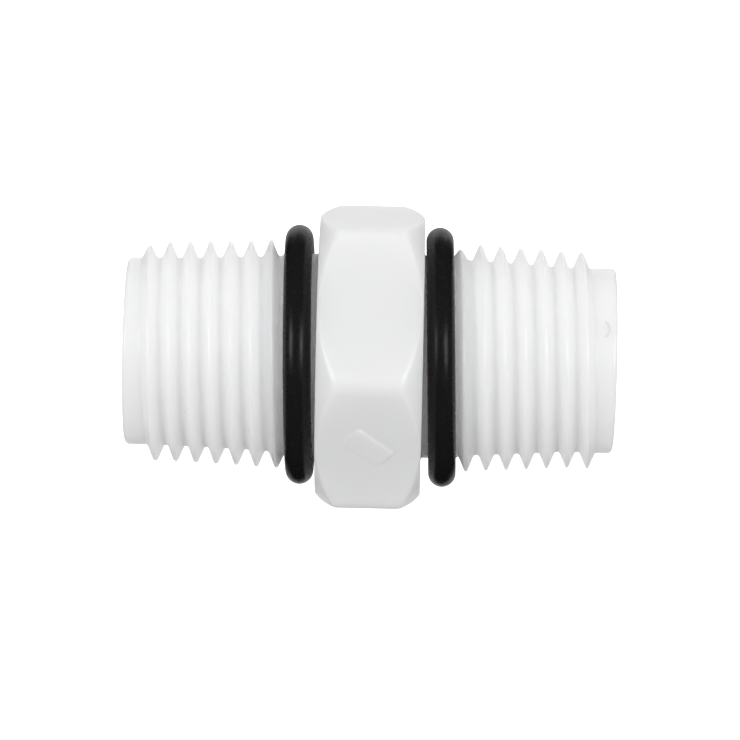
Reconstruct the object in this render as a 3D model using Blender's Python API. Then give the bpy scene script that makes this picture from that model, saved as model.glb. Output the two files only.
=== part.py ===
"""Threaded pipe coupling: a moulded hexagon nipple with a tapered thread on each side.

Three pieces make it up: the one-piece body, and a rubber sealing ring on the plain neck at each
side of the hexagon. The pipe axis is X, the coupling rests on a hexagon flat that faces -Z, and
the origin is the middle of the hexagon on the pipe axis.
"""

import math

import bmesh
import bpy
from mathutils import Matrix

MM = 0.001

# Driving dimensions of the body.
OVERALL_LENGTH = 43.8 * MM
HEX_ACROSS_FLATS = 25.3 * MM
HEX_WIDTH = 9.4 * MM
HEX_CORNER_RADIUS = 1.8 * MM
HEX_FACE_DIAMETER = 24.9 * MM
HEX_CHAMFER_ANGLE = math.radians(41.0)
NECK_DIAMETER = 18.2 * MM
NECK_FILLET = 0.2 * MM
LEAD_CORNER_RADIUS = 0.4 * MM
BORE_MOUTH_DIAMETER = 13.2 * MM
BORE_MIDDLE_DIAMETER = 12.8 * MM
BORE_CHAMFER = 0.3 * MM

# The thread: tapered pipe thread, 14 to the inch, right-handed, with softly moulded flanks.
THREAD_PITCH = 25.4 / 14.0 * MM
THREAD_HALF_ANGLE = math.radians(22.5)
CREST_ROUNDING = 0.17 * MM
ROOT_ROUNDING = 0.3 * MM
# Distances from the middle of the coupling.
NECK_END = 7.85 * MM
ROOT_START = 8.15 * MM
THREAD_FADE_AT_NECK = (7.4 * MM, 8.3 * MM)
THREAD_FADE_AT_MOUTH = (19.7 * MM, 20.7 * MM)
THREAD_ZONE = (7.2 * MM, 21.2 * MM)
# The two sides differ a little. A crest crosses the top of the coupling at CREST_AT_TOP.
CREST_AT_TOP = {"left": -12.7 * MM, "right": 13.4 * MM}
TAPER_ON_RADIUS = {"left": 0.0435, "right": 0.061}
ROOT_DIAMETER_AT_MOUTH = {"left": 16.5 * MM, "right": 16.05 * MM}
LEAD_DIAMETER = {"left": 16.9 * MM, "right": 16.6 * MM}

# The sealing rings. Being loose rubber, each sits on its neck a little askew: its top leans
# towards -X.
RING_SECTION = 2.48 * MM
RING_CLEARANCE = 0.08 * MM
RING_PLACE = {"left_o_ring": -6.36 * MM, "right_o_ring": 6.36 * MM}
RING_LEAN = {"left_o_ring": math.radians(1.3), "right_o_ring": math.radians(1.8)}

# How finely the round shapes are divided.
CORNER_HALF_ANGLE = math.radians(30.0) - math.atan(
    math.tan(math.radians(30.0)) * (1.0 - 2.0 * HEX_CORNER_RADIUS / HEX_ACROSS_FLATS)
)
FLAT_DIVISIONS = 6
LEAD_CORNER_STEPS = 3
RING_SEGMENTS = 48
RING_SECTION_SEGMENTS = 14
SNAP = 0.04 * MM
WELD_DISTANCE = 0.001 * MM
SHARP_ANGLE = math.radians(28.0)

WHITE_PLASTIC = {"color": (0.8, 0.805, 0.805, 1.0), "roughness": 0.34}
BLACK_RUBBER = {"color": (0.018, 0.018, 0.02, 1.0), "roughness": 0.42}


def clear_scene():
    """Removes every object, so that the file holds this coupling only."""
    for old in list(bpy.data.objects):
        bpy.data.objects.remove(old)


def make_material(name, look):
    """A plain Principled material."""
    material = bpy.data.materials.new(name)
    material.use_nodes = True
    shader = material.node_tree.nodes["Principled BSDF"]
    shader.inputs["Base Color"].default_value = look["color"]
    shader.inputs["Roughness"].default_value = look["roughness"]
    shader.inputs["Metallic"].default_value = 0.0
    material.diffuse_color = look["color"]
    return material


def ramp(value, low, high):
    """0 below low, 1 above high, and a smooth rise between them."""
    share = min(1.0, max(0.0, (value - low) / (high - low)))
    return share * share * (3.0 - 2.0 * share)


def column_angles():
    """Angles round the axis, from +Y towards +Z.

    Each hexagon corner has three, so that it is rounded, and each flat is divided evenly.
    The last one closes the circle.
    """
    sector = math.radians(60.0)
    angles = []
    for corner in range(6):
        start = corner * sector
        angles.append(start)
        span = sector - 2.0 * CORNER_HALF_ANGLE
        for step in range(FLAT_DIVISIONS + 1):
            angles.append(start + CORNER_HALF_ANGLE + span * step / FLAT_DIVISIONS)
    angles.append(2.0 * math.pi)
    return angles


def hex_radius(angle):
    """Distance from the axis to the hexagon's rounded outline."""
    apothem = HEX_ACROSS_FLATS / 2.0
    from_flat = (angle + math.radians(30.0)) % math.radians(60.0) - math.radians(30.0)
    from_corner = abs(from_flat)
    if from_corner >= CORNER_HALF_ANGLE:
        return apothem / math.cos(math.radians(30.0) - from_corner)
    centre = (apothem - HEX_CORNER_RADIUS) / math.cos(math.radians(30.0))
    across = centre * math.sin(from_corner)
    return centre * math.cos(from_corner) + math.sqrt(HEX_CORNER_RADIUS**2 - across**2)


def thread_height(distance):
    """Height of the rib over its root, at an axial distance from the crest line."""
    half_pitch = THREAD_PITCH / 2.0
    sharp_height = half_pitch / math.tan(THREAD_HALF_ANGLE)
    root_centre = ROOT_ROUNDING / math.sin(THREAD_HALF_ANGLE)
    root = root_centre - ROOT_ROUNDING
    away = min(abs(distance), half_pitch)
    from_root = half_pitch - away
    if away < CREST_ROUNDING * math.cos(THREAD_HALF_ANGLE):
        crest_centre = sharp_height - CREST_ROUNDING / math.sin(THREAD_HALF_ANGLE)
        return crest_centre + math.sqrt(CREST_ROUNDING**2 - away**2) - root
    if from_root < ROOT_ROUNDING * math.cos(THREAD_HALF_ANGLE):
        return root_centre - math.sqrt(ROOT_ROUNDING**2 - from_root**2) - root
    return sharp_height * (1.0 - away / half_pitch) - root


def outer_radius(x, angle, side):
    """Radius of the neck, thread and lead at a place along and round the axis."""
    place = abs(x)
    root = ROOT_DIAMETER_AT_MOUTH[side] / 2.0
    root += TAPER_ON_RADIUS[side] * (OVERALL_LENGTH / 2.0 - place)
    root = max(root, LEAD_DIAMETER[side] / 2.0)
    neck = NECK_DIAMETER / 2.0
    base = neck + (root - neck) * ramp(place, NECK_END, ROOT_START)
    crest_here = CREST_AT_TOP[side] + THREAD_PITCH * (angle / (2.0 * math.pi) - 0.25)
    turns = (x - crest_here) / THREAD_PITCH
    distance = (turns - round(turns)) * THREAD_PITCH
    crest = abs(x - distance)
    fade = ramp(crest, *THREAD_FADE_AT_NECK) * (1.0 - ramp(crest, *THREAD_FADE_AT_MOUTH))
    return max(base, root + fade * thread_height(distance))


def thread_rows(low, high, side):
    """Rows that follow the thread's helix, from low to high along the axis.

    A row holds one place along the axis and one radius for each column. Beyond low or high, a
    row lies on the circle there, so that the thread ends on two plain circles.
    """
    crest_reach = CREST_ROUNDING * math.cos(THREAD_HALF_ANGLE)
    root_reach = ROOT_ROUNDING * math.cos(THREAD_HALF_ANGLE)
    half_pitch = THREAD_PITCH / 2.0
    offsets = [
        -half_pitch + root_reach,
        -crest_reach,
        0.0,
        crest_reach,
        half_pitch - root_reach,
        half_pitch,
    ]
    crest_at_top = CREST_AT_TOP[side]
    first = math.floor((low - crest_at_top) / THREAD_PITCH) - 1
    last = math.ceil((high - crest_at_top) / THREAD_PITCH) + 1
    rows = []
    for turn in range(first, last + 1):
        for offset in offsets:
            row = []
            for angle in column_angles():
                x = crest_at_top + offset
                x += THREAD_PITCH * (turn + angle / (2.0 * math.pi) - 0.25)
                x = low if x < low + SNAP else x
                x = high if x > high - SNAP else x
                row.append((x, outer_radius(x, angle, side)))
            rows.append(row)
    return rows


def round_row(x, radius):
    """A plain circle round the axis."""
    return [(x, radius)] * len(column_angles())


def hexagon_rows():
    """Rows of the hexagon, from its left face to its right face."""
    face = HEX_WIDTH / 2.0
    neck = NECK_DIAMETER / 2.0
    rim = HEX_FACE_DIAMETER / 2.0
    edge = []
    for angle in column_angles():
        radius = hex_radius(angle)
        edge.append((face - (radius - rim) * math.tan(HEX_CHAMFER_ANGLE), radius))
    left = [
        round_row(-face - NECK_FILLET, neck),
        round_row(-face, neck + NECK_FILLET),
        round_row(-face, rim),
        [(-x, radius) for x, radius in edge],
    ]
    right = [
        edge,
        round_row(face, rim),
        round_row(face, neck + NECK_FILLET),
        round_row(face + NECK_FILLET, neck),
    ]
    return left + right


def mouth_rows(side):
    """Rows of a mouth as if on the right, from the lead's rounded corner into the bore."""
    end = OVERALL_LENGTH / 2.0
    lead = LEAD_DIAMETER[side] / 2.0
    mouth = BORE_MOUTH_DIAMETER / 2.0
    rows = []
    for step in range(LEAD_CORNER_STEPS + 1):
        turn = math.radians(90.0) * step / LEAD_CORNER_STEPS
        x = end - LEAD_CORNER_RADIUS * (1.0 - math.sin(turn))
        rows.append(round_row(x, lead - LEAD_CORNER_RADIUS * (1.0 - math.cos(turn))))
    rows.append(round_row(end, mouth + BORE_CHAMFER))
    rows.append(round_row(end - BORE_CHAMFER, mouth))
    return rows


def body_rows():
    """All rows of the body, along the outside from left to right and back through the bore."""
    near, far = THREAD_ZONE
    left_mouth = [[(-x, radius) for x, radius in row] for row in reversed(mouth_rows("left"))]
    return (
        thread_rows(-far, -near, "left")
        + hexagon_rows()
        + thread_rows(near, far, "right")
        + mouth_rows("right")
        + [round_row(0.0, BORE_MIDDLE_DIAMETER / 2.0)]
        + left_mouth
    )


def make_body(material):
    """The moulded body, as one closed surface of rows and columns."""
    angles = column_angles()
    rows = body_rows()
    points = []
    for row in rows:
        for angle, (x, radius) in zip(angles, row):
            points.append((x, radius * math.cos(angle), radius * math.sin(angle)))
    width = len(angles)
    faces = []
    for row in range(len(rows)):
        here = row * width
        after = (row + 1) % len(rows) * width
        for column in range(width - 1):
            faces.append(
                (here + column, here + column + 1, after + column + 1, after + column)
            )
    mesh = bpy.data.meshes.new("nipple_body")
    mesh.from_pydata(points, [], faces)
    welded = bmesh.new()
    welded.from_mesh(mesh)
    bmesh.ops.remove_doubles(welded, verts=welded.verts, dist=WELD_DISTANCE)
    bmesh.ops.recalc_face_normals(welded, faces=welded.faces)
    welded.to_mesh(mesh)
    welded.free()
    mesh.shade_smooth()
    mesh.set_sharp_from_angle(angle=SHARP_ANGLE)
    mesh.materials.append(material)
    body = bpy.data.objects.new("nipple_body", mesh)
    bpy.context.scene.collection.objects.link(body)
    return body


def make_ring(name, material):
    """A rubber ring round the neck, carried by an empty that slides along the axis."""
    inner = NECK_DIAMETER / 2.0 + RING_CLEARANCE
    bpy.ops.mesh.primitive_torus_add(
        major_radius=inner + RING_SECTION / 2.0,
        minor_radius=RING_SECTION / 2.0,
        major_segments=RING_SEGMENTS,
        minor_segments=RING_SECTION_SEGMENTS,
    )
    ring = bpy.context.object
    ring.name = name
    # The torus is made round Z: its axis is laid along X.
    ring.data.transform(Matrix.Rotation(math.radians(90.0), 4, "Y"))
    ring.data.shade_smooth()
    ring.data.materials.append(material)
    slider = bpy.data.objects.new(name + "_slider", None)
    bpy.context.scene.collection.objects.link(slider)
    slider.location = (RING_PLACE[name], 0.0, 0.0)
    ring.parent = slider
    ring.rotation_euler = (0.0, -RING_LEAN[name], 0.0)
    return slider


def main():
    clear_scene()
    plastic = make_material("white_plastic", WHITE_PLASTIC)
    rubber = make_material("black_rubber", BLACK_RUBBER)
    body = make_body(plastic)
    for name in RING_PLACE:
        make_ring(name, rubber).parent = body


main()
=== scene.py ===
"""Looks of a threaded pipe coupling: its fine moulded body, its rubber rings, and the studio.

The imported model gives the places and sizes. The pipe axis is X, the camera looks along +Y, and
the coupling lies on a hexagon flat. What the frame can't tell, such as the thread's shape, is in
the constants below, in metres.
"""

import math

import bmesh
import bpy
import numpy as np
from mathutils import Euler, Matrix, Vector, noise

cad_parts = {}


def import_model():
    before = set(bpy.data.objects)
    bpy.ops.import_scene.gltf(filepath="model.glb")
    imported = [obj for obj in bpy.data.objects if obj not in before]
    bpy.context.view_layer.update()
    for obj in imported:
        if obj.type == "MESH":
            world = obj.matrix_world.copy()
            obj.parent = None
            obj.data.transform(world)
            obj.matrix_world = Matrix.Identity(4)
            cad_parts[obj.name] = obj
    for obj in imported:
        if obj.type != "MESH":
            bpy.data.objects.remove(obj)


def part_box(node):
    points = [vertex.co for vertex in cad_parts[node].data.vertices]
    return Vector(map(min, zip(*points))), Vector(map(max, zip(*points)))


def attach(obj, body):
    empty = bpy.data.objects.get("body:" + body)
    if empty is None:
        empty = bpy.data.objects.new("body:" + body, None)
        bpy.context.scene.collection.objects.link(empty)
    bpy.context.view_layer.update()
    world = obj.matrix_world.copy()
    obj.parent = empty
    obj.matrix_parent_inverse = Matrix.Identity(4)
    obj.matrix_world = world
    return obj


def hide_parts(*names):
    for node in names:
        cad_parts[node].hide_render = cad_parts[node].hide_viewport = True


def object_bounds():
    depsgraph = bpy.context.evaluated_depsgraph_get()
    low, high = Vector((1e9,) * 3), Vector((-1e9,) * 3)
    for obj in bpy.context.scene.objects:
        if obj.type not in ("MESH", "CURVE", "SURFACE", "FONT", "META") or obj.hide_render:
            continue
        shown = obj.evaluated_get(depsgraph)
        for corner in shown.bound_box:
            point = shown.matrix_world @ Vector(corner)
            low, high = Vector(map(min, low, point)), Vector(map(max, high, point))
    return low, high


MM = 0.001

# The body, where the frame only gives its box.
HEX_WIDTH = 9.4 * MM
HEX_CORNER_RADIUS = 1.8 * MM
HEX_FACE_DIAMETER = 24.9 * MM
HEX_CHAMFER_ANGLE = math.radians(41.0)
NECK_DIAMETER = 18.2 * MM
BORE_MOUTH_DIAMETER = 13.2 * MM
BORE_MIDDLE_DIAMETER = 12.8 * MM

# Roundings that moulding leaves on its edges. The chamfer's grows with the chamfer's width.
CHAMFER_ROUNDING = 0.2 * MM
CHAMFER_ROUNDING_SHARE = 0.4
FACE_ROUNDING = 0.18 * MM
NECK_ROUNDING = 0.25 * MM
LEAD_ROUNDING = 0.4 * MM
BORE_ROUNDING = 0.3 * MM

# Moulded plastic shrinks unevenly as it cools, and the thick threads most of all.
HEXAGON_WAVINESS = 0.02 * MM
THREAD_WAVINESS = 0.12 * MM
WAVE_SIZE = 3.5 * MM

# The thread: tapered pipe thread, 14 to the inch, right-handed, with softly moulded flanks.
THREAD_PITCH = 25.4 / 14.0 * MM
THREAD_HALF_ANGLE = math.radians(22.5)
CREST_ROUNDING = 0.17 * MM
ROOT_ROUNDING = 0.3 * MM
NECK_END = 7.85 * MM
ROOT_START = 8.15 * MM
THREAD_FADE_AT_NECK = (7.4 * MM, 8.3 * MM)
THREAD_FADE_AT_MOUTH = (19.7 * MM, 20.7 * MM)
THREAD_ZONE = (7.2 * MM, 21.2 * MM)
CREST_AT_TOP = {"left": -12.7 * MM, "right": 13.4 * MM}
TAPER_ON_RADIUS = {"left": 0.0435, "right": 0.061}
ROOT_DIAMETER_AT_MOUTH = {"left": 16.5 * MM, "right": 16.05 * MM}
LEAD_DIAMETER = {"left": 16.9 * MM, "right": 16.6 * MM}

# The raised mark on the lower near flat, and the ejector pin's mark on the right lead.
MARK_LENGTH = 4.5 * MM
MARK_WIDTH = 2.6 * MM
MARK_CORNER = 0.4 * MM
MARK_HEIGHT = 0.26 * MM
MARK_LOW_EDGE = 0.15
MARK_RIM = 0.3 * MM
MARK_PLACE = (0.0, 0.18 * MM)
MARK_TURN = math.radians(-40.5)
MARK_REACH_ACROSS = 0.75 * MARK_LENGTH
MARK_REACH_UP = 0.85 * MARK_WIDTH
MARK_REACH_OUT = 0.45 * MM
MARK_CUTS = 11
MARK_FLAT_TILT = math.radians(30.0)
MARK_FLAT_OUT = Vector((0.0, -math.cos(MARK_FLAT_TILT), -math.sin(MARK_FLAT_TILT)))
MARK_FLAT_UP = Vector((0.0, -math.sin(MARK_FLAT_TILT), math.cos(MARK_FLAT_TILT)))
PIN_RADIUS = 0.95 * MM
PIN_HALF_WIDTH = 0.055 * MM
PIN_HEIGHT = 0.05 * MM
PIN_ROUNDING = 0.045 * MM
PIN_FROM_END = 1.72 * MM
PIN_ANGLE = math.radians(30.5)
PIN_SPREAD = math.radians(50.0)

# The rings.
RING_SECTION = 2.48 * MM
FLASH_HEIGHT = 0.012 * MM
FLASH_WIDTH = 0.13 * MM
FLASH_MEAN = 0.6
FLASH_LEAST = 0.1
FLASH_WAVES = 9.0

# How finely the surfaces are divided.
CORNER_STEPS = 8
FLAT_STEPS = 32
ROUNDING_STEPS = 6
STRAIGHT_SHARES = (0.04, 0.2, 0.5, 0.8, 0.96)
ARC_SHARES = (-0.9, -0.5, 0.0, 0.5, 0.9)
FLANK_SHARES = (0.2, 0.5, 0.8)
RING_SEGMENTS = 240
RING_SECTION_SEGMENTS = 96
SNAP = 0.01 * MM
WELD_DISTANCE = 0.0005 * MM

# The plastic. Its tone holds painted light and shade: it is lower on the hexagon and higher from the
# chamfers' outer ends outwards, so the chamfers, the gaps by the rings and the threads read lighter.
HEXAGON_SHADED_TONE = (0.82, 0.823, 0.825, 1.0)
THREAD_LIT_TONE = (0.968, 0.97, 0.972, 1.0)
PAINTED_LIGHT_CHANGE = (4.4 * MM, 5.2 * MM)
# The pin mark's grey is painted shade: it stands for the shadow in the mark's small step.
PIN_PAINTED_SHADE_TONE = (0.76, 0.76, 0.76, 1.0)
MOTTLE_TONE = (0.8, 0.8, 0.805, 1.0)
MOTTLE_SIZE = 7.0 * MM
MOTTLE_MOST = 0.08
SPECK_TONE = (0.6, 0.58, 0.56, 1.0)
SPECK_SPACING = 5.0 * MM
SPECK_RADIUS = 0.11 * MM
FLOW_SIZE = 2.5 * MM
FLOW_DEPTH = 0.004 * MM
PLASTIC_GRAIN_SIZE = 0.08 * MM
PLASTIC_GRAIN_DEPTH = 0.0006 * MM
PLASTIC_ROUGHNESS = (0.285, 0.33)
PLASTIC_IOR = 1.49
LIGHT_SPREAD = 4.0 * MM
LIGHT_SPREAD_BY_COLOUR = (1.0, 0.97, 0.94)

# The rubber.
RUBBER_TONE = (0.009, 0.009, 0.0095, 1.0)
DUST_TONE = (0.025, 0.025, 0.026, 1.0)
DUST_SIZE = 0.5 * MM
DUST_RANGE = (0.56, 0.75)
DUST_MOST = 0.5
SHEEN_SIZE = 0.8 * MM
RIPPLE_SIZE = 1.2 * MM
RIPPLE_DEPTH = 0.01 * MM
RUBBER_GRAIN_SIZE = 0.1 * MM
RUBBER_GRAIN_DEPTH = 0.003 * MM
RUBBER_ROUGHNESS = (0.24, 0.34)
RUBBER_SPECULAR = 0.14

# The floor.
FLOOR_RADIUS = 3.0
FLOOR_TONES = ((0.96, 0.96, 0.96, 1.0), (0.98, 0.98, 0.98, 1.0))
FLOOR_MOTTLE_SIZE = 80.0 * MM
FLOOR_GLOW = 0.9

# Most of a noise's values lie in this range.
NOISE_RANGE = (0.3, 0.7)

# The camera: a long lens, a little above the coupling and to its right.
CAMERA_AZIMUTH = math.radians(0.4)
CAMERA_ELEVATION = math.radians(10.8)
CAMERA_ROLL = math.radians(1.14)
CAMERA_DISTANCE = 440.0 * MM
VIEW_WIDTH = 66.6 * MM
VIEW_CENTRE = (0.0, -1.31 * MM)
SENSOR_WIDTH = 36.0

# The light.
LIGHT_DISTANCE = 1.2
FILL_STRENGTH = 0.72


def unit(vectors):
    """The vectors, made one long."""
    return vectors / np.linalg.norm(vectors, axis=1, keepdims=True)


def smooth_step(values, low, high):
    """0 below low, 1 above high, and a smooth rise between them."""
    share = np.clip((values - low) / (high - low), 0.0, 1.0)
    return share * share * (3.0 - 2.0 * share)


# ---------------------------------------------------------------- the body's mesh


def corner_half_angle(across_flats):
    """Half the angle, seen from the axis, that the rounding of a hexagon corner takes up."""
    straight_share = 1.0 - 2.0 * HEX_CORNER_RADIUS / across_flats
    return math.radians(30.0) - math.atan(math.tan(math.radians(30.0)) * straight_share)


def column_angles(across_flats):
    """Angles round the axis, from +Y towards +Z, closest on and beside the hexagon's corners.

    The last angle closes the circle.
    """
    corner = corner_half_angle(across_flats)
    sector = math.radians(60.0)
    eased = 0.5 - 0.5 * np.cos(np.linspace(0.0, math.pi, FLAT_STEPS, endpoint=False))
    angles = []
    for number in range(6):
        middle = number * sector
        angles.extend(np.linspace(middle - corner, middle + corner, CORNER_STEPS, endpoint=False))
        angles.extend(middle + corner + (sector - 2.0 * corner) * eased)
    angles.append(angles[0] + 2.0 * math.pi)
    return np.array(angles)


def hex_radius(angles, across_flats):
    """Distance from the axis to the hexagon's rounded outline."""
    apothem = across_flats / 2.0
    sector = math.radians(60.0)
    from_corner = np.abs((angles + sector / 2.0) % sector - sector / 2.0)
    flat = apothem / np.cos(sector / 2.0 - from_corner)
    centre = (apothem - HEX_CORNER_RADIUS) / math.cos(sector / 2.0)
    reach = HEX_CORNER_RADIUS**2 - (centre * np.sin(from_corner)) ** 2
    rounded = centre * np.cos(from_corner) + np.sqrt(np.maximum(reach, 0.0))
    return np.where(from_corner < corner_half_angle(across_flats), rounded, flat)


def row_at(x, radius, columns):
    """One row of the body: a place along the axis and a radius for each column."""
    return np.stack([np.broadcast_to(x, columns), np.broadcast_to(radius, columns)], axis=1)


def corner_arc(before, corner, after, rounding):
    """Rows along the arc that rounds a corner of the profile, with a rounding for each column."""
    back = unit(before - corner)
    ahead = unit(after - corner)
    half = np.arccos(np.clip((back * ahead).sum(axis=1), -1.0, 1.0)) / 2.0
    reach = (rounding / np.tan(half))[:, None]
    centre = corner + unit(back + ahead) * (rounding / np.sin(half))[:, None]
    first = corner + back * reach - centre
    last = corner + ahead * reach - centre
    return [
        centre + unit(first * (1.0 - share) + last * share) * rounding[:, None]
        for share in np.linspace(0.0, 1.0, ROUNDING_STEPS + 1)
    ]


def rounded_profile(corners, roundings):
    """Rows along a profile of straight stretches whose inner corners are rounded."""
    rows = [corners[0]]
    for number, rounding in enumerate(roundings, start=1):
        everywhere = np.broadcast_to(rounding, len(corners[0]))
        arc = corner_arc(corners[number - 1], corners[number], corners[number + 1], everywhere)
        start = rows[-1]
        rows.extend(start + (arc[0] - start) * share for share in STRAIGHT_SHARES)
        rows.extend(arc)
    start = rows[-1]
    rows.extend(start + (corners[-1] - start) * share for share in STRAIGHT_SHARES)
    rows.append(corners[-1])
    return rows


def thread_height(distance):
    """Height of the rib over its root, at an axial distance from the crest line."""
    half_pitch = THREAD_PITCH / 2.0
    sharp = half_pitch / math.tan(THREAD_HALF_ANGLE)
    crest_centre = sharp - CREST_ROUNDING / math.sin(THREAD_HALF_ANGLE)
    root_centre = ROOT_ROUNDING / math.sin(THREAD_HALF_ANGLE)
    away = np.minimum(np.abs(distance), half_pitch)
    from_root = half_pitch - away
    crest_arc = crest_centre + np.sqrt(np.maximum(CREST_ROUNDING**2 - away**2, 0.0))
    root_arc = root_centre - np.sqrt(np.maximum(ROOT_ROUNDING**2 - from_root**2, 0.0))
    height = sharp * (1.0 - away / half_pitch)
    height = np.where(away < CREST_ROUNDING * math.cos(THREAD_HALF_ANGLE), crest_arc, height)
    height = np.where(from_root < ROOT_ROUNDING * math.cos(THREAD_HALF_ANGLE), root_arc, height)
    return height - root_centre + ROOT_ROUNDING


def outer_radius(x, angles, side, end):
    """Radius of the neck, thread and lead at places along and round the axis."""
    place = np.abs(x)
    root = ROOT_DIAMETER_AT_MOUTH[side] / 2.0 + TAPER_ON_RADIUS[side] * (end - place)
    root = np.maximum(root, LEAD_DIAMETER[side] / 2.0)
    neck = NECK_DIAMETER / 2.0
    base = neck + (root - neck) * smooth_step(place, NECK_END, ROOT_START)
    crest_here = CREST_AT_TOP[side] + THREAD_PITCH * (angles / (2.0 * math.pi) - 0.25)
    turns = (x - crest_here) / THREAD_PITCH
    distance = (turns - np.round(turns)) * THREAD_PITCH
    crest = np.abs(x - distance)
    fade = smooth_step(crest, *THREAD_FADE_AT_NECK) * (1.0 - smooth_step(crest, *THREAD_FADE_AT_MOUTH))
    return np.maximum(base, root + fade * thread_height(distance))


def thread_offsets():
    """Axial distances from the crest line of the rows in one pitch, closer on the roundings."""
    crest_reach = CREST_ROUNDING * math.cos(THREAD_HALF_ANGLE)
    root_reach = ROOT_ROUNDING * math.cos(THREAD_HALF_ANGLE)
    half_pitch = THREAD_PITCH / 2.0
    flank_width = half_pitch - crest_reach - root_reach
    crest = [crest_reach * share for share in ARC_SHARES]
    flank = [crest_reach + flank_width * share for share in FLANK_SHARES]
    root = [half_pitch + root_reach * share for share in ARC_SHARES]
    return crest + flank + root + [THREAD_PITCH - place for place in reversed(flank)]


def thread_rows(low, high, side, angles, end):
    """Rows that follow the helix from low to high, and end on plain circles there."""
    first = math.floor((low - CREST_AT_TOP[side]) / THREAD_PITCH) - 1
    last = math.ceil((high - CREST_AT_TOP[side]) / THREAD_PITCH) + 1
    rows = []
    for turn in range(first, last + 1):
        for offset in thread_offsets():
            turns = turn + angles / (2.0 * math.pi) - 0.25
            x = CREST_AT_TOP[side] + offset + THREAD_PITCH * turns
            x = np.where(x < low + SNAP, low, x)
            x = np.where(x > high - SNAP, high, x)
            rows.append(np.stack([x, outer_radius(x, angles, side, end)], axis=1))
    return rows


def hexagon_half(angles, across_flats):
    """Rows from the middle of the hexagon, over its chamfer and right face, along the neck."""
    columns = len(angles)
    face = HEX_WIDTH / 2.0
    rim = HEX_FACE_DIAMETER / 2.0
    neck = NECK_DIAMETER / 2.0
    radius = hex_radius(angles, across_flats)
    edge = face - (radius - rim) * math.tan(HEX_CHAMFER_ANGLE)
    chamfer_width = (radius - rim) / math.cos(HEX_CHAMFER_ANGLE)
    chamfer_rounding = CHAMFER_ROUNDING + CHAMFER_ROUNDING_SHARE * chamfer_width
    corners = [
        row_at(0.0, radius, columns),
        row_at(edge, radius, columns),
        row_at(face, rim, columns),
        row_at(face, neck, columns),
        row_at(THREAD_ZONE[0], neck, columns),
    ]
    return rounded_profile(corners, (chamfer_rounding, FACE_ROUNDING, NECK_ROUNDING))


def mouth_half(end, side, columns):
    """Rows, as if on the right, from the end of the thread round the mouth to mid-bore."""
    corners = [
        row_at(THREAD_ZONE[1], LEAD_DIAMETER[side] / 2.0, columns),
        row_at(end, LEAD_DIAMETER[side] / 2.0, columns),
        row_at(end, BORE_MOUTH_DIAMETER / 2.0, columns),
        row_at(0.0, BORE_MIDDLE_DIAMETER / 2.0, columns),
    ]
    return rounded_profile(corners, (LEAD_ROUNDING, BORE_ROUNDING))


def mirrored(rows):
    """The same rows on the other side of the middle, in the opposite order."""
    return [row * (-1.0, 1.0) for row in reversed(rows)]


def body_rows(angles, across_flats, end):
    """All rows of the body: along the outside from left to right, and back through the bore."""
    near, far = THREAD_ZONE
    hexagon = hexagon_half(angles, across_flats)
    return np.array(
        mirrored(mouth_half(end, "left", len(angles)))
        + thread_rows(-far, -near, "left", angles, end)
        + mirrored(hexagon)
        + hexagon
        + thread_rows(near, far, "right", angles, end)
        + mouth_half(end, "right", len(angles))
    )


def wave_depth(spot):
    """How far the slow random wave of the moulding draws a point inwards.

    It is deeper on the threads, and never lifts the hexagon's flats out of their size.
    """
    share = smooth_step(abs(spot.x), *THREAD_FADE_AT_NECK)
    depth = HEXAGON_WAVINESS + (THREAD_WAVINESS - HEXAGON_WAVINESS) * share
    return 0.5 * HEXAGON_WAVINESS + 0.5 * depth * noise.noise(spot / WAVE_SIZE)


def place_on_mark(spot, apothem):
    """A point's place along the mark, up it, and outside the flat that carries it."""
    across = spot.x - MARK_PLACE[0]
    up = spot.dot(MARK_FLAT_UP) - MARK_PLACE[1]
    turned = Matrix.Rotation(-MARK_TURN, 2) @ Vector((across, up))
    return turned.x, turned.y, spot.dot(MARK_FLAT_OUT) - apothem


def mark_height(across, up):
    """Height of the raised mark: a rounded block, highest along its upper edge."""
    beyond_x = max(abs(across) - MARK_LENGTH / 2.0 + MARK_CORNER, 0.0)
    beyond_y = max(abs(up) - MARK_WIDTH / 2.0 + MARK_CORNER, 0.0)
    inside = MARK_CORNER - math.hypot(beyond_x, beyond_y)
    slope = MARK_LOW_EDGE + (1.0 - MARK_LOW_EDGE) * (up / MARK_WIDTH + 0.5)
    return MARK_HEIGHT * slope * float(smooth_step(inside, 0.0, MARK_RIM))


def is_near_mark(spot, apothem):
    """Whether a point lies on the part of the flat that the mark's relief needs finely divided."""
    across, up, out = place_on_mark(spot, apothem)
    return abs(out) < MARK_REACH_OUT and abs(across) < MARK_REACH_ACROSS and abs(up) < MARK_REACH_UP


def add_relief(mesh, apothem):
    """Divides the mesh finely round the mark, raises the mark and adds the moulding's waves."""
    relief = bmesh.new()
    relief.from_mesh(mesh)
    near = [face for face in relief.faces if is_near_mark(face.calc_center_median(), apothem)]
    edges = list({edge for face in near for edge in face.edges})
    bmesh.ops.subdivide_edges(relief, edges=edges, cuts=MARK_CUTS, use_grid_fill=True)
    for point in relief.verts:
        spot = point.co.copy()
        inward = -Vector((0.0, spot.y, spot.z)).normalized()
        point.co += inward * wave_depth(spot)
        if is_near_mark(spot, apothem):
            across, up, _ = place_on_mark(spot, apothem)
            point.co += MARK_FLAT_OUT * mark_height(across, up)
    relief.to_mesh(mesh)
    relief.free()


def grid_faces(rows, columns, closed_columns):
    """Faces between neighbouring rows and columns of points. The last row joins the first."""
    faces = []
    for row in range(rows):
        here = row * columns
        after = (row + 1) % rows * columns
        for column in range(columns if closed_columns else columns - 1):
            beside = (column + 1) % columns
            faces.append((here + column, here + beside, after + beside, after + column))
    return faces


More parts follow.
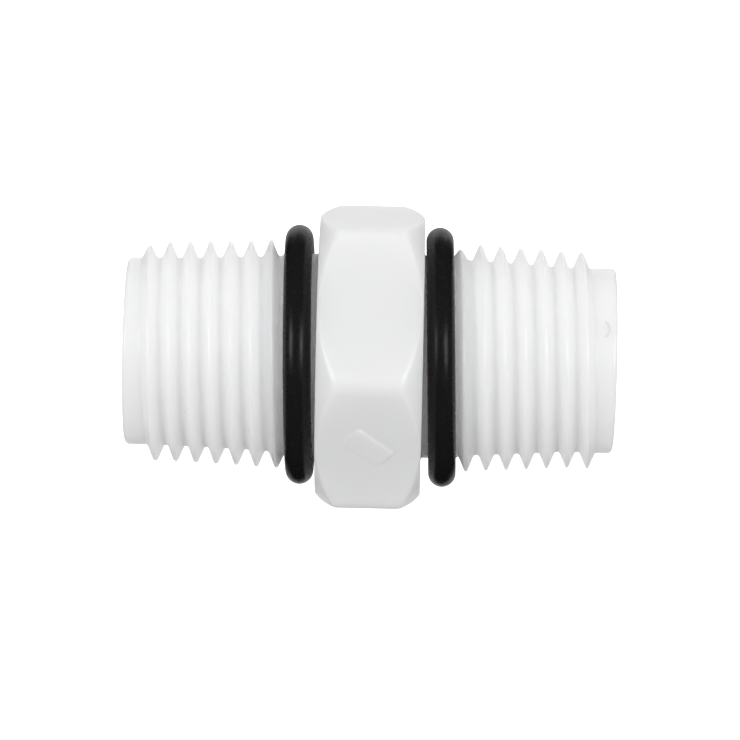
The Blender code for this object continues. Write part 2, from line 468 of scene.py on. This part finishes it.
def new_piece(name, points, faces, material):
    """A smooth closed mesh object."""
    mesh = bpy.data.meshes.new(name)
    mesh.from_pydata(points, [], faces)
    welded = bmesh.new()
    welded.from_mesh(mesh)
    bmesh.ops.remove_doubles(welded, verts=welded.verts, dist=WELD_DISTANCE)
    bmesh.ops.recalc_face_normals(welded, faces=welded.faces)
    welded.to_mesh(mesh)
    welded.free()
    mesh.shade_smooth()
    mesh.materials.append(material)
    piece = bpy.data.objects.new(name, mesh)
    bpy.context.scene.collection.objects.link(piece)
    return piece


def make_body(material):
    """The moulded body, as one closed surface."""
    low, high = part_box("nipple_body")
    across_flats = high[2] - low[2]
    end = (high[0] - low[0]) / 2.0
    angles = column_angles(across_flats)
    rows = body_rows(angles, across_flats, end)
    x = rows[:, :, 0]
    radius = rows[:, :, 1]
    points = np.stack([x, radius * np.cos(angles), radius * np.sin(angles)], axis=2).reshape(-1, 3)
    faces = grid_faces(rows.shape[0], len(angles), closed_columns=False)
    body = new_piece("moulded_body", points, faces, material)
    add_relief(body.data, across_flats / 2.0)
    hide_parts("nipple_body")
    return body


# ---------------------------------------------------------------- small marks


def rounded_crescent(radius, half_width, spread, inset):
    """Points round a band along an arc, with round ends, drawn in by the inset."""
    reach = half_width - inset
    points = []
    for turn in np.linspace(-spread, spread, 4 * ROUNDING_STEPS):
        points.append(((radius + reach) * math.cos(turn), (radius + reach) * math.sin(turn)))
    for turn in np.linspace(spread, -spread, 4 * ROUNDING_STEPS):
        points.append(((radius - reach) * math.cos(turn), (radius - reach) * math.sin(turn)))
    return points


def raised_shape(name, outline_at, height, rounding, place, material):
    """A low raised shape with a rounded rim, sunk a little into the surface under it.

    outline_at gives the outline for an inset, and place turns (across, up, out) into a point.
    """
    rims = [(0.0, -height), (0.0, height - rounding)]
    for turn in np.linspace(0.0, math.pi / 2.0, ROUNDING_STEPS)[1:]:
        rims.append((rounding * (1.0 - math.cos(turn)), height - rounding * (1.0 - math.sin(turn))))
    points = []
    for inset, out in rims:
        outline = outline_at(inset)
        points.extend(place(across, up, out) for across, up in outline)
    count = len(outline)
    faces = [tuple(range(count)), tuple(range((len(rims) - 1) * count, len(rims) * count))]
    for rim in range(len(rims) - 1):
        for number in range(count):
            here = rim * count + number
            beside = rim * count + (number + 1) % count
            faces.append((here, beside, beside + count, here + count))
    return new_piece(name, points, faces, material)


def make_pin_mark(material):
    """The thin raised crescent that an ejector pin leaves on the right lead. Its grey is painted shade,
    standing for the shadow in the mark's small step.
    """
    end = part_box("nipple_body")[1][0]
    lead = LEAD_DIAMETER["right"] / 2.0

    def outline_at(inset):
        """The crescent's outline, drawn in by the inset."""
        return rounded_crescent(PIN_RADIUS, PIN_HALF_WIDTH, PIN_SPREAD, inset)

    def on_lead(across, up, out):
        """A point on the lead, or above it by out."""
        angle = PIN_ANGLE + up / lead
        radius = lead + out
        x = end - PIN_FROM_END + across
        return Vector((x, -radius * math.cos(angle), radius * math.sin(angle)))

    return raised_shape("pin_mark", outline_at, PIN_HEIGHT, PIN_ROUNDING, on_lead, material)


# ---------------------------------------------------------------- rings


def make_ring(name, node, material):
    """A rubber ring with a fine uneven ridge of moulding flash round its outside."""
    low, high = (np.array(corner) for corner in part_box(node))
    tube = RING_SECTION / 2.0
    major = (high[1] - low[1]) / 2.0 - tube
    lean = math.asin(((high[0] - low[0]) / 2.0 - tube) / major)
    centre = (low + high) / 2.0
    tilt = Euler((0.0, -lean, 0.0)).to_matrix()
    points = []
    for segment in range(RING_SEGMENTS):
        around = 2.0 * math.pi * segment / RING_SEGMENTS
        outward = Vector((0.0, math.cos(around), math.sin(around)))
        unevenness = FLASH_MEAN + noise.noise(outward * FLASH_WAVES + Vector((centre[0] / MM, 0.0, 0.0)))
        flash = FLASH_HEIGHT * max(unevenness, FLASH_LEAST)
        for step in range(RING_SECTION_SEGMENTS):
            turn = 2.0 * math.pi * step / RING_SECTION_SEGMENTS
            from_seam = math.remainder(turn, 2.0 * math.pi) * tube / FLASH_WIDTH
            radius = tube + flash * math.exp(-from_seam * from_seam)
            spoke = outward * (major + radius * math.cos(turn))
            points.append(Vector(centre) + tilt @ (spoke + Vector((radius * math.sin(turn), 0.0, 0.0))))
    faces = grid_faces(RING_SEGMENTS, RING_SECTION_SEGMENTS, closed_columns=True)
    ring = new_piece(name, points, faces, material)
    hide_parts(node)
    return ring


# ---------------------------------------------------------------- materials


class Nodes:
    """A material's node tree, with short calls for the nodes that the materials share."""

    def __init__(self, name):
        self.material = bpy.data.materials.new(name)
        self.material.use_nodes = True
        self.tree = self.material.node_tree
        self.shader = self.tree.nodes["Principled BSDF"]
        self.place = self.tree.nodes.new("ShaderNodeTexCoord").outputs["Object"]

    def link(self, output, socket):
        """Feeds an output into a socket."""
        self.tree.links.new(output, socket)

    def noise(self, size, detail=2.0, roughness=0.5):
        """Noise whose features have the given size."""
        node = self.tree.nodes.new("ShaderNodeTexNoise")
        node.inputs["Scale"].default_value = 1.0 / size
        node.inputs["Detail"].default_value = detail
        node.inputs["Roughness"].default_value = roughness
        self.link(self.place, node.inputs["Vector"])
        return node.outputs["Fac"]

    def spots(self, spacing, radius):
        """1 inside scattered round spots, and 0 elsewhere."""
        node = self.tree.nodes.new("ShaderNodeTexVoronoi")
        node.inputs["Scale"].default_value = 1.0 / spacing
        self.link(self.place, node.inputs["Vector"])
        edge = radius / spacing
        return self.spread(node.outputs["Distance"], (edge, 0.5 * edge), (0.0, 1.0))

    def from_middle(self, low, high):
        """0 at a distance low from the coupling's middle along the pipe, 1 beyond high."""
        split = self.tree.nodes.new("ShaderNodeSeparateXYZ")
        self.link(self.place, split.inputs["Vector"])
        distance = self.tree.nodes.new("ShaderNodeMath")
        distance.operation = "ABSOLUTE"
        self.link(split.outputs["X"], distance.inputs[0])
        return self.spread(distance.outputs["Value"], (low, high), (0.0, 1.0))

    def spread(self, value, before, after):
        """The value, carried from the range before to the range after and kept inside it."""
        node = self.tree.nodes.new("ShaderNodeMapRange")
        self.link(value, node.inputs["Value"])
        node.inputs["From Min"].default_value, node.inputs["From Max"].default_value = before
        node.inputs["To Min"].default_value, node.inputs["To Max"].default_value = after
        return node.outputs["Result"]

    def blend(self, share, first, second):
        """A mix of two colours or colour outputs."""
        node = self.tree.nodes.new("ShaderNodeMix")
        node.data_type = "RGBA"
        self.link(share, node.inputs["Factor"])
        for socket, colour in ((node.inputs[6], first), (node.inputs[7], second)):
            if isinstance(colour, tuple):
                socket.default_value = colour
            else:
                self.link(colour, socket)
        return node.outputs[2]

    def bump(self, height, depth, under=None):
        """A normal that stands for relief of the given depth, on top of the relief under it."""
        node = self.tree.nodes.new("ShaderNodeBump")
        node.inputs["Strength"].default_value = 1.0
        node.inputs["Distance"].default_value = depth
        self.link(height, node.inputs["Height"])
        if under is not None:
            self.link(under, node.inputs["Normal"])
        return node.outputs["Normal"]

    def set(self, **values):
        """Sets the shader's own sockets. Underscores stand for spaces."""
        for name, value in values.items():
            self.shader.inputs[name.replace("_", " ")].default_value = value


def white_plastic(name, hexagon_shaded_tone, thread_lit_tone, translucency):
    """Injection-moulded white polypropylene: milky and softly glossy, with rare dark specks, and with a tone
    that paints light and shade, darker on the hexagon and lighter beyond it.
    """
    nodes = Nodes(name)
    # Painted light and shade: the hexagon's darker tone turns into the threads' lighter one over the
    # chamfers' outer ends, the hexagon's faces and the start of the neck.
    tone = nodes.blend(nodes.from_middle(*PAINTED_LIGHT_CHANGE), hexagon_shaded_tone, thread_lit_tone)
    mottle = nodes.spread(nodes.noise(MOTTLE_SIZE, detail=1.0), NOISE_RANGE, (0.0, MOTTLE_MOST))
    mottled = nodes.blend(mottle, tone, MOTTLE_TONE)
    specks = nodes.spots(SPECK_SPACING, SPECK_RADIUS)
    nodes.link(nodes.blend(specks, mottled, SPECK_TONE), nodes.shader.inputs["Base Color"])
    gloss = nodes.spread(nodes.noise(FLOW_SIZE, detail=1.0), NOISE_RANGE, PLASTIC_ROUGHNESS)
    nodes.link(gloss, nodes.shader.inputs["Roughness"])
    flow = nodes.bump(nodes.noise(FLOW_SIZE, detail=0.0), FLOW_DEPTH)
    grain = nodes.bump(nodes.noise(PLASTIC_GRAIN_SIZE, detail=1.0), PLASTIC_GRAIN_DEPTH, under=flow)
    nodes.link(grain, nodes.shader.inputs["Normal"])
    nodes.set(
        Subsurface_Weight=translucency,
        Subsurface_Radius=LIGHT_SPREAD_BY_COLOUR,
        Subsurface_Scale=LIGHT_SPREAD,
        IOR=PLASTIC_IOR,
    )
    return nodes.material


def black_rubber():
    """Black nitrile rubber: smooth, with a soft sheen, fine grain and a little pale dust."""
    nodes = Nodes("black_rubber")
    dust = nodes.noise(DUST_SIZE, detail=6.0, roughness=0.7)
    dusty = nodes.blend(nodes.spread(dust, DUST_RANGE, (0.0, DUST_MOST)), RUBBER_TONE, DUST_TONE)
    nodes.link(dusty, nodes.shader.inputs["Base Color"])
    sheen = nodes.spread(nodes.noise(SHEEN_SIZE, detail=3.0), NOISE_RANGE, RUBBER_ROUGHNESS)
    nodes.link(sheen, nodes.shader.inputs["Roughness"])
    ripple = nodes.bump(nodes.noise(RIPPLE_SIZE, detail=1.0), RIPPLE_DEPTH)
    grain = nodes.bump(nodes.noise(RUBBER_GRAIN_SIZE, detail=3.0), RUBBER_GRAIN_DEPTH, under=ripple)
    nodes.link(grain, nodes.shader.inputs["Normal"])
    nodes.set(Specular_IOR_Level=RUBBER_SPECULAR)
    return nodes.material


def pale_floor():
    """A plain matte white floor, with a faint glow of its own that lifts the shadow on it."""
    nodes = Nodes("pale_floor")
    tone = nodes.blend(nodes.noise(FLOOR_MOTTLE_SIZE), *FLOOR_TONES)
    nodes.link(tone, nodes.shader.inputs["Base Color"])
    nodes.set(
        Roughness=0.9,
        Specular_IOR_Level=0.0,
        Emission_Color=(1.0, 1.0, 1.0, 1.0),
        Emission_Strength=FLOOR_GLOW,
    )
    return nodes.material


# ---------------------------------------------------------------- studio


def direction(azimuth, elevation):
    """Unit vector from the coupling, with azimuth 0 on the camera's side, -Y."""
    flat = math.cos(elevation)
    return Vector((math.sin(azimuth) * flat, -math.cos(azimuth) * flat, math.sin(elevation)))


def add_floor(height):
    """A wide round floor under the coupling."""
    place = (0.0, 0.0, height)
    bpy.ops.mesh.primitive_circle_add(vertices=96, radius=FLOOR_RADIUS, fill_type="NGON", location=place)
    floor = bpy.context.object
    floor.name = "floor"
    floor.data.materials.append(pale_floor())
    floor.visible_diffuse = False
    floor.visible_glossy = False
    floor.visible_shadow = False


def add_softbox(name, azimuth, elevation, width, height, power):
    """A rectangular light that faces the coupling. The angles are in degrees."""
    light = bpy.data.lights.new(name, "AREA")
    light.shape = "RECTANGLE"
    light.size = width
    light.size_y = height
    light.energy = power
    box = bpy.data.objects.new(name, light)
    towards = direction(math.radians(azimuth), math.radians(elevation))
    box.location = towards * LIGHT_DISTANCE
    box.rotation_euler = towards.to_track_quat("Z", "Y").to_euler()
    bpy.context.scene.collection.objects.link(box)
    return box


def add_lights():
    """Even fill, soft boxes in front and above, a bright backdrop, and two boxes for highlights."""
    front = add_softbox("front_softbox", azimuth=0.0, elevation=30.0, width=2.6, height=0.6, power=5.6)
    overhead = add_softbox("overhead_softbox", azimuth=0.0, elevation=63.0, width=1.4, height=0.6, power=2.5)
    for box in (front, overhead):
        box.visible_glossy = False
    add_softbox("backdrop_light", azimuth=180.0, elevation=0.0, width=0.9, height=1.6, power=3.4)
    for name, azimuth in (("left_highlight", -50.0), ("right_highlight", 42.0)):
        box = add_softbox(name, azimuth, elevation=16.0, width=0.5, height=0.5, power=5.8)
        box.visible_diffuse = False
    world = bpy.data.worlds.new("fill")
    bpy.context.scene.world = world
    world.use_nodes = True
    background = world.node_tree.nodes["Background"]
    background.inputs["Color"].default_value = (1.0, 1.0, 1.0, 1.0)
    background.inputs["Strength"].default_value = FILL_STRENGTH
    world.cycles_visibility.glossy = False


def add_camera():
    """A long lens, level with the near side of the coupling and looking a little down at it."""
    camera = bpy.data.cameras.new("camera")
    camera.sensor_width = SENSOR_WIDTH
    camera.lens = SENSOR_WIDTH * CAMERA_DISTANCE / VIEW_WIDTH
    camera.clip_start = 0.01
    towards = direction(CAMERA_AZIMUTH, CAMERA_ELEVATION)
    eye = towards * CAMERA_DISTANCE
    aim = Vector((VIEW_CENTRE[0], 0.0, VIEW_CENTRE[1]))
    turn = (eye - aim).to_track_quat("Z", "Y").to_matrix().to_4x4()
    holder = bpy.data.objects.new("camera", camera)
    holder.matrix_world = Matrix.Translation(eye) @ turn @ Matrix.Rotation(CAMERA_ROLL, 4, "Z")
    bpy.context.scene.collection.objects.link(holder)
    bpy.context.scene.camera = holder


def plain_box(bounds):
    """A box as plain lists of numbers."""
    return [[float(value) for value in corner] for corner in bounds]


def main():
    """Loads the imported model, dresses it and sets up the studio."""
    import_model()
    cad_box = plain_box(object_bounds())
    plastic = white_plastic("white_plastic", HEXAGON_SHADED_TONE, THREAD_LIT_TONE, 1.0)
    # The pin mark's plastic is grey as painted shade.
    pin_painted_shade_plastic = white_plastic("pin_painted_shade_plastic", PIN_PAINTED_SHADE_TONE, PIN_PAINTED_SHADE_TONE, 0.0)
    rubber = black_rubber()
    for piece in (make_body(plastic), make_pin_mark(pin_painted_shade_plastic)):
        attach(piece, "nipple")
    for side in ("left", "right"):
        ring = make_ring(side + "_rubber_ring", side + "_o_ring", rubber)
        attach(ring, side + "_ring")
    add_floor(cad_box[0][2])
    add_lights()
    add_camera()
    bpy.context.scene.view_settings.view_transform = "Standard"


main()
